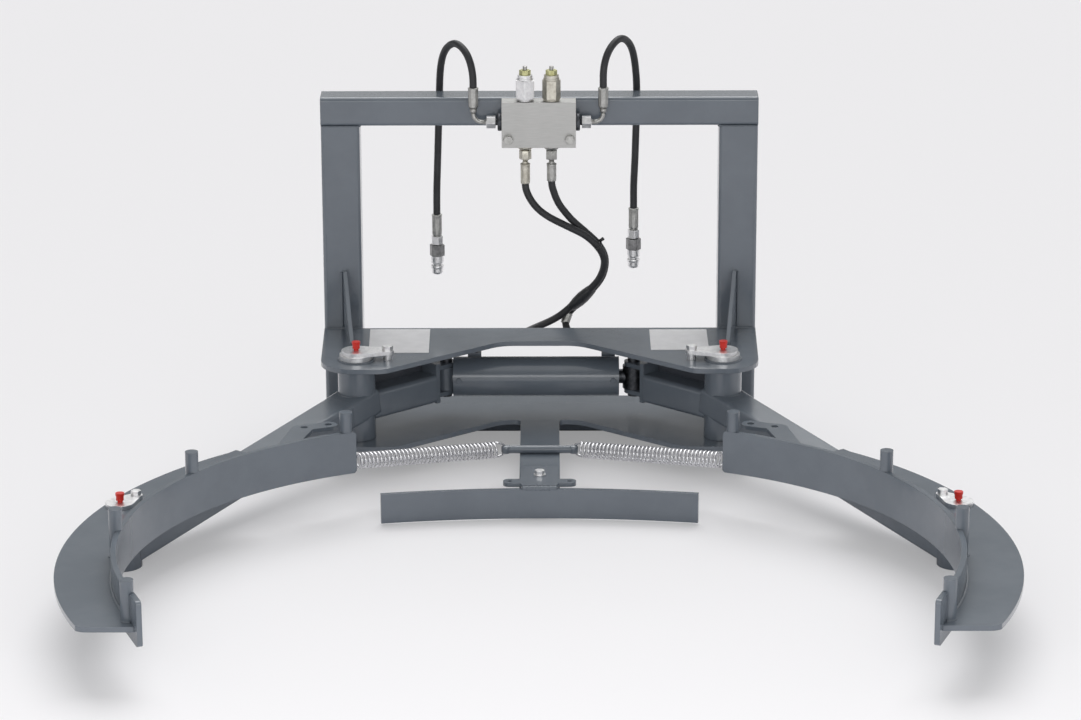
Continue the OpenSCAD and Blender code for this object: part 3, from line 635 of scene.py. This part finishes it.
# %% [markdown]
# ## Elbows, ferrules and couplers
# Each supply hose starts in a crimped ferrule on a bent tube, which a union nut holds to an
# adaptor in the block's side. The cylinder hoses start in straight fittings below. The free ends
# carry a ferrule, two hexagons and the round nose of a male quick coupler.

# %% Side fittings
block_low, block_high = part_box("valve_block")
mid_y = (block_low.y + block_high.y) / 2
FITTING_Z, FERRULE_Z = 0.676, 0.707
TUBE_RADIUS, TUBE_BEND, TUBE_START = 0.0046, 0.018, 0.01


def bent_tube(radius, bend, run_in, run_out):
    """A tube along +X that bends up to +Z, starting at the origin."""
    part = bmesh.new()
    upright = Matrix.Rotation(math.radians(90), 4, "Y")
    bmesh.ops.create_circle(part, cap_ends=True, segments=20, radius=radius, matrix=upright)
    first = bmesh.ops.extrude_face_region(part, geom=list(part.faces))
    moved = [g for g in first["geom"] if isinstance(g, bmesh.types.BMVert)]
    bmesh.ops.translate(part, vec=(run_in, 0, 0), verts=moved)
    cap = [g for g in first["geom"] if isinstance(g, bmesh.types.BMFace)]
    around = bmesh.ops.spin(part, geom=cap, cent=(run_in, 0, bend), axis=(0, -1, 0),
                            angle=math.radians(90), steps=14, use_merge=False)
    top = [g for g in around["geom_last"] if isinstance(g, bmesh.types.BMFace)]
    last = bmesh.ops.extrude_face_region(part, geom=top)
    moved = [g for g in last["geom"] if isinstance(g, bmesh.types.BMVert)]
    bmesh.ops.translate(part, vec=(0, 0, run_out), verts=moved)
    return part


for side, sign, x in (("left", -1, -0.135), ("right", 1, 0.131)):
    face = block_low.x if sign < 0 else block_high.x
    at = Vector((face, mid_y, FITTING_Z))
    way = (sign, 0, 0)
    nuts = bmesh.new()
    join(nuts, turned([(0, 0), (17.5, 0), (18.5, 1), (18.5, 7), (17, 8.5), (0, 8.5)]), at, way)
    join(nuts, turned([(0, 8), (7, 8), (7, 14), (0, 14)]), at, way)
    piece(side + "_adaptor", nuts, dark_steel_and_rod_shade, "frame")
    nut = bmesh.new()
    join(nut, hexagon(24, 12.5, 31), at, way, math.radians(30))
    join(nut, turned([(0, 30), (8, 30), (6.5, 32.5), (0, 32.5)]), at, way)
    piece(side + "_union_nut", nut, bright_zinc, "frame", smooth=False)
    tube = bmesh.new()
    elbow = bent_tube(TUBE_RADIUS, TUBE_BEND, abs(x - face) - TUBE_BEND - TUBE_START,
                      FERRULE_Z - FITTING_Z - TUBE_BEND - 0.006)
    to_side = Matrix.Rotation(0 if sign > 0 else math.pi, 4, "Z")
    elbow.transform(Matrix.Translation(at + Vector((sign * TUBE_START, 0, 0))) @ to_side)
    join(tube, elbow, (0, 0, 0))
    foot = (x, mid_y, FERRULE_Z)
    join(tube, crimped(0, 41), foot)
    join(tube, turned([(0, -10), (6.4, -10), (7.2, -9), (7.2, 0), (0, 0)]), foot)
    piece(side + "_elbow", tube, grey_zinc, "frame", replaces=(side + "_side_fitting",))

# %% Bottom fittings
for side, x, drop, finish in (("left", -0.029, 80, warm_zinc), ("right", 0.025, 75, grey_zinc)):
    bm = bmesh.new()
    top = Vector((x, mid_y, block_low.z))
    join(bm, turned([(0, 0), (17.5, 0), (17.5, -2), (12, -8), (0, -8)]), top)
    join(bm, hexagon(22, -28, -9), top, turn=math.radians(30 if side == "left" else 0))
    join(bm, turned([(0, -38), (8.5, -38), (5.5, -34), (5.5, -27), (0, -27)]), top)
    join(bm, crimped(-drop, -37, 10), top)
    piece(side + "_straight_fitting", bm, finish, "frame",
          replaces=(side + "_bottom_fitting",))

# %% Couplers
for side, _ in SIDES:
    low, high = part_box(side + "_coupler")
    end = ((low.x + high.x) / 2, (low.y + high.y) / 2, high.z)
    bm = bmesh.new()
    join(bm, crimped(-45, 0), end)
    join(bm, turned([(0, -48), (8, -48), (8, -44), (0, -44)]), end)
    ferrule = piece(side + "_coupler_ferrule", bm, grey_zinc, "frame")
    bm = bmesh.new()
    join(bm, hexagon(22, -65, -47), end, turn=math.radians(12))
    join(bm, turned([(0, -90), (13, -90), (13, -104), (11.5, -106.5), (9.6, -107.5), (9.6, -109.5),
                     (13, -111), (13.4, -113), (13, -116), (11.5, -117.5), (11.5, -125),
                     (10.4, -128), (8, -130), (5, -130), (5, -124), (0, -124)]), end)
    nose = piece(side + "_quick_coupler", bm, bright_zinc, "frame", smooth=False,
                 replaces=(side + "_coupler",))
    bm = bmesh.new()
    join(bm, hexagon(28, -90, -66, 1.0), end, turn=math.radians(20))
    body = piece(side + "_coupler_hexagon", bm, dark_zinc, "frame", smooth=False)
for name, hose in hoses.items():
    route = smooth_route(name)
    side, free = name.split("_")[0], "supply" in name
    round(route_length(route), 3)

# %% [markdown]
# ## Sleeve and cable tie
# The two cylinder hoses are bound twice. A wrap of tape holds them at the lower bend and a thin
# cable tie, whose head stands off to one side, at the upper bend. Both follow the pair of hoses,
# so each is a skin over stretched rings with the long axis across the pair. A crimped joiner sits
# on one hose below them.

# %% Sleeve and tie


def across_pair(position, half_across, half_deep):
    """A stretched ring round both cylinder hoses at a position counted in route points."""
    i, part = int(position), position - int(position)
    pair = [routes[side + "_cylinder_hose"] for side, _ in SIDES]
    a, b = (points[i].lerp(points[i + 1], part) for points in pair)
    along = sum((points[i + 1] - points[i] for points in pair), Vector())
    across = (b - a) - along.normalized() * (b - a).dot(along.normalized())
    z, x = along.normalized(), across.normalized()
    turn = Matrix((x * half_across / 1000, z.cross(x) * half_deep / 1000, z)).transposed().to_4x4()
    return Matrix.Translation((a + b) / 2) @ turn


tape = bmesh.new()
sizes = [(12.9, 16.4, 8.2), (13.05, 18, 10), (13.4, 18.6, 11.6), (13.8, 19, 12.6), (14.2, 19, 12),
         (14.55, 18.4, 9.6), (14.7, 16.6, 8.2)]
lofted(tape, [across_pair(*size) for size in sizes], 28)
piece("taped_sleeve", tape, tie_plastic, "frame", replaces=("hose_tie",))
tie = bmesh.new()
lofted(tie, [across_pair(8 + step, 17.8, 8.9) for step in (0.0, 0.1, 0.2)], 28)
head = Matrix.Translation((0.1285, -0.031, 0.4185)) @ towards(Vector((0.8, 0, 0.6)))
bmesh.ops.create_cube(tie, size=1, matrix=head @ Matrix.Diagonal((0.005, 0.006, 0.011, 1)))
piece("cable_tie", tie, tie_plastic, "frame")
collar = bmesh.new()
join(collar, crimped(0, 24, 9.6), (0.052, 0.020, 0.222), (8, 9, 21))
piece("hose_joiner", collar, grey_zinc, "frame")

# %% [markdown]
# ## Cartridge valves
# Two relief cartridges stand on the block. Each has a long hexagon with a turned shoulder, a
# yellow lock nut and a threaded adjusting screw. The thread is a stack of fine grooves, which
# looks right at this size and stays light.

# %% Cartridges


def threaded(radius, low, high, pitch=1.25):
    """A screw end from its radius and two heights, in millimetres."""
    outline = [(0, low)]
    height = low
    while height + pitch < high:
        outline += [(radius - 0.6, height), (radius, height + pitch / 2)]
        height += pitch
    return turned(outline + [(radius - 1.2, high), (0, high)], steps=28)


top = block_high.z
for side, x, across, turn, finish in (("left", -0.029, 37, 0, bright_zinc),
                                      ("right", 0.025, 33, 30, warm_zinc)):
    bm = bmesh.new()
    at = Vector((x, mid_y, top))
    join(bm, turned([(0, 0), (16, 0), (17, 1), (17, 4), (0, 4)]), at)
    join(bm, hexagon(across, 4, 44, 1.0), at, turn=math.radians(turn))
    join(bm, turned([(0, 44), (16.5, 44), (16.5, 47), (15.5, 48), (15.5, 53), (14.5, 54),
                     (0, 54)]), at)
    piece(side + "_valve_cartridge", bm, finish, "frame", smooth=False,
          replaces=(side + "_cartridge",))
locks = bmesh.new()
screws = bmesh.new()
for x in (-0.029, 0.025):
    join(locks, hexagon(21, 54, 64, 1.0), (x, mid_y, top), turn=math.radians(30))
    join(locks, turned([(0, 53.6), (11.5, 53.6), (11.5, 55), (0, 55)]), (x, mid_y, top))
    join(screws, threaded(4.8, 60, 72), (x, mid_y, top))
piece("lock_nuts", locks, yellow_zinc, "frame", smooth=False,
      replaces=("adjuster_nuts",))
piece("adjusting_screws", screws, grey_zinc, "frame")

# %% [markdown]
# ## Weld beads
# The frame is welded by hand, and every joint shows a rippled bead under the paint. A bead is a
# row of small overlapping drops along the joint. Each drop has few faces, because there are
# hundreds of them, and smooth shading joins them into one seam.

# %% Bead helper


def bead(bm, points, size=3.2, step=2.6):
    """A row of drops along a line of points. Size and step are in millimetres."""
    size, step = size / 1000, step / 1000
    for a, b in zip(points, points[1:]):
        a, b = Vector(a), Vector(b)
        count = max(1, round((b - a).length / step))
        for i in range(count):
            at = a.lerp(b, (i + 0.5) / count)
            wobble = 1 + 0.12 * math.sin(i * 2.4 + a.x * 90)
            drop = Matrix.Diagonal((size * wobble, size * wobble, size * 0.72, 1))
            bmesh.ops.create_icosphere(bm, subdivisions=1, radius=1,
                                       matrix=Matrix.Translation(at) @ towards(b - a) @ drop)


def circle_points(x, y, z, radius, start=0, stop=360, count=40):
    angles = [math.radians(start + (stop - start) * i / count) for i in range(count + 1)]
    return [(x + radius * math.cos(a), y + radius * math.sin(a), z) for a in angles]


# %% Frame welds
plate_low, plate_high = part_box("top_plate")
foot_low, foot_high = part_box("bottom_plate")
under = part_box("top_cross_tube")[0].z
INNER_X, OUTER_X, FRONT_Y, GUSSET_X = 0.37, 0.45, -0.036, 0.406

bm = bmesh.new()
for side, sign in SIDES:
    inner_x, outer_x = sign * INNER_X, sign * OUTER_X
    bead(bm, [(inner_x, -0.03, under), (inner_x, 0.03, under)], 3.6)
    for y in (-0.0345, 0.0345):
        bead(bm, [(inner_x, y, under), (outer_x - sign * 0.006, y, under)], 2.2)
    for level, size in ((plate_high.z, 3.6), (plate_low.z, 3.6),
                        (foot_high.z, 3.4), (foot_low.z, 3.4)):
        bead(bm, [(sign * 0.445, FRONT_Y, level), (sign * 0.372, FRONT_Y, level)], size)
    bead(bm, circle_points(sign * HUB.x, HUB.y, plate_high.z + 0.0005, 0.0355), 3.0)
    bead(bm, [(sign * 0.366, FRONT_Y, 0.0545), (sign * 0.02, FRONT_Y, 0.0545)], 3.2)
    low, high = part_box(side + "_gusset")
    for x in (GUSSET_X - 0.004, GUSSET_X + 0.006):
        bead(bm, [(sign * x, -0.0365, high.z - 0.004), (sign * x, -0.0365, low.z + 0.004)], 3.0)
bead(bm, [(-0.036, SPRING_Y, 0.0655), (0.036, SPRING_Y, 0.0655)], 3.0)
bead(bm, [(-0.033, -0.5835, 0.066), (0.033, -0.5835, 0.066)], 5.5, 3.4)
piece("frame_welds", bm, grey_paint, "frame")

# %% Arm and jaw welds
BAND, BAND_BACK, STUD_RING = Vector((0.104, -1.158, 0)), 0.6685, 0.668
STUD_TOP, STUD_SEAM = 0.171, 0.0125
HUB_SEAM, HALF_BEAM = 0.0385, 0.034


def mirrored(points, sign):
    return [(sign * p[0], p[1], p[2]) for p in points]


crescent_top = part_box("left_crescent")[1].z
for side, sign in SIDES:
    bm = bmesh.new()
    arc = circle_points(BAND.x, BAND.y, crescent_top + 0.0004, BAND_BACK, -20, 50, 60)
    bead(bm, mirrored(arc, sign), 3.2)
    for angle in (-24, 4.1, 33.6):
        x = BAND.x + STUD_RING * math.cos(math.radians(angle))
        y = BAND.y + STUD_RING * math.sin(math.radians(angle))
        ring = circle_points(x, y, crescent_top + 0.0005, 0.0135, angle - 80, angle + 80, 16)
        bead(bm, mirrored(ring, sign), 2.6)
        for edge in (-1, 1):
            turn = math.radians(angle) + edge * STUD_SEAM / STUD_RING
            x, y = BAND.x + BAND_BACK * math.cos(turn), BAND.y + BAND_BACK * math.sin(turn)
            bead(bm, mirrored([(x, y, crescent_top + 0.004), (x, y, STUD_TOP)], sign), 2.2)
    piece(side + "_jaw_welds", bm, grey_paint, side + "_jaw")
    bm = bmesh.new()
    along = (JAW_HUB - HUB).normalized()
    square = Vector((-along.y, along.x, 0))
    for at, way, level in ((HUB, 1, 0.159), (JAW_HUB, -1, 0.069)):
        seam = []
        for i in range(21):
            aside = HALF_BEAM * (i / 10 - 1)
            reach = math.sqrt(HUB_SEAM ** 2 - aside ** 2)
            spot = at + along * way * reach + square * aside
            seam.append((spot.x, spot.y, level + way * 0.142 * (reach - 0.038)))
        bead(bm, mirrored(seam, sign), 3.2)
    piece(side + "_arm_welds", bm, grey_paint, side + "_arm")

# %% [markdown]
# ## Knees, webs, eyes and heels
# At each main hub the beam's box section runs on past the pin and meets the lever in a mitre. The
# CAD beam ends at the hub, so the last stretch is made here as a short box with rounded edges.
# An upright web stiffens the lever along its rear edge, from the hub to the clevis plate; its dark
# paint is painted shade for the shadow under the top plate. At each end of the spring bar a short
# round eye takes the spring's hook, and a thin heel plate fills the step between the crescent and
# the band near the jaw hub.

# %% Knees, webs, eyes and heels


def box(size, frame_of_box, soften=0.0):
    """A box with its four long edges rounded, set by a matrix at its middle."""
    part = bmesh.new()
    bmesh.ops.create_cube(part, size=1, matrix=Matrix.Diagonal((*size, 1)))
    long_edges = [e for e in part.edges if abs(e.verts[0].co.x - e.verts[1].co.x) > size[0] / 2]
    if soften:
        bmesh.ops.bevel(part, geom=long_edges, offset=soften, segments=5, profile=0.5,
                        affect="EDGES", material=-1)
    part.transform(frame_of_box)
    return part


def axes(x_way, z_way, at):
    """A matrix whose X runs along x_way and whose Z is near z_way."""
    x = Vector(x_way).normalized()
    y = Vector(z_way).cross(x).normalized()
    return Matrix.Translation(at) @ Matrix((x, y, x.cross(y))).transposed().to_4x4()


UP = Vector((0, 0, 1))
KNEE_BACK, KNEE_FRONT, KNEE_Z, FLARE = -0.025, 0.055, 0.136, 1.09
BEAM_DROP = -0.101
WEB_RUN, WEB_BACK, WEB_Z = 0.108, 0.022, 0.1785
HEEL_RUN, HEEL_Z = 0.3845, 0.1185

for side, sign in SIDES:
    mirror = Matrix.Diagonal((sign, 1, 1))
    hub = mirror @ HUB
    beam_way = (mirror @ (JAW_HUB - HUB) + BEAM_DROP * UP).normalized()
    middle = hub + KNEE_Z * UP + beam_way * (KNEE_BACK + KNEE_FRONT) / 2
    sleeve = box((KNEE_FRONT - KNEE_BACK, 0.0726, 0.0572), Matrix(), 0.009)
    for vert in sleeve.verts:
        if vert.co.x < 0:
            vert.co.y *= FLARE
    sleeve.transform(axes(beam_way, UP, middle))
    piece(side + "_knee", sleeve, grey_paint, side + "_arm", smooth=False)
    lever_way = (mirror @ (LEVER_PIN - HUB)).normalized()
    rear = sign * lever_way.cross(UP)
    web_middle = hub + lever_way * WEB_RUN + rear * WEB_BACK + WEB_Z * UP
    web = box((0.156, 0.008, 0.037), axes(lever_way, UP, web_middle), 0.002)
    # The web's dark paint is painted shade for the shadow under the top plate.
    piece(side + "_lever_web", web, web_shade_paint, side + "_arm", smooth=False)
    eye = turned([(0, -7.5), (7.5, -7.5), (9.5, -5.5), (9.5, 5.5), (7.5, 7.5), (0, 7.5)])
    eye.transform(Matrix.Translation((sign * 0.068, SPRING_Y, SPRING_Z)))
    piece(side + "_spring_bar_eye", eye, grey_paint, "frame")
    heel_way = Vector((sign * 0.5875, -0.8093, 0))
    heel_middle = hub + heel_way * HEEL_RUN + HEEL_Z * UP
    heel = box((0.095, 0.074, 0.003), axes(heel_way, UP, heel_middle))
    piece(side + "_crescent_heel", heel, grey_paint, side + "_jaw", smooth=False)

# %% [markdown]
# ## Labels
# Two stickers on the top plate carry print in the photograph. Here they stay bare. Their corners
# are given in millimetres.

# %% Labels
label_corners = {"left": ((-350, -210), (-227, -210), (-229, -44), (-354, -44)),
                 "right": ((228, -193), (347, -193), (347, -49), (228, -49))}
for side, corners in label_corners.items():
    bm = bmesh.new()
    verts = [bm.verts.new((x / 1000, y / 1000, plate_high.z + 0.0001)) for x, y in corners]
    sheet = bm.faces.new(verts)
    raised = bmesh.ops.extrude_face_region(bm, geom=[sheet])
    moved = [g for g in raised["geom"] if isinstance(g, bmesh.types.BMVert)]
    bmesh.ops.translate(bm, vec=(0, 0, 0.0004), verts=moved)
    piece(side + "_bare_label", bm, sticker, "frame", smooth=False)
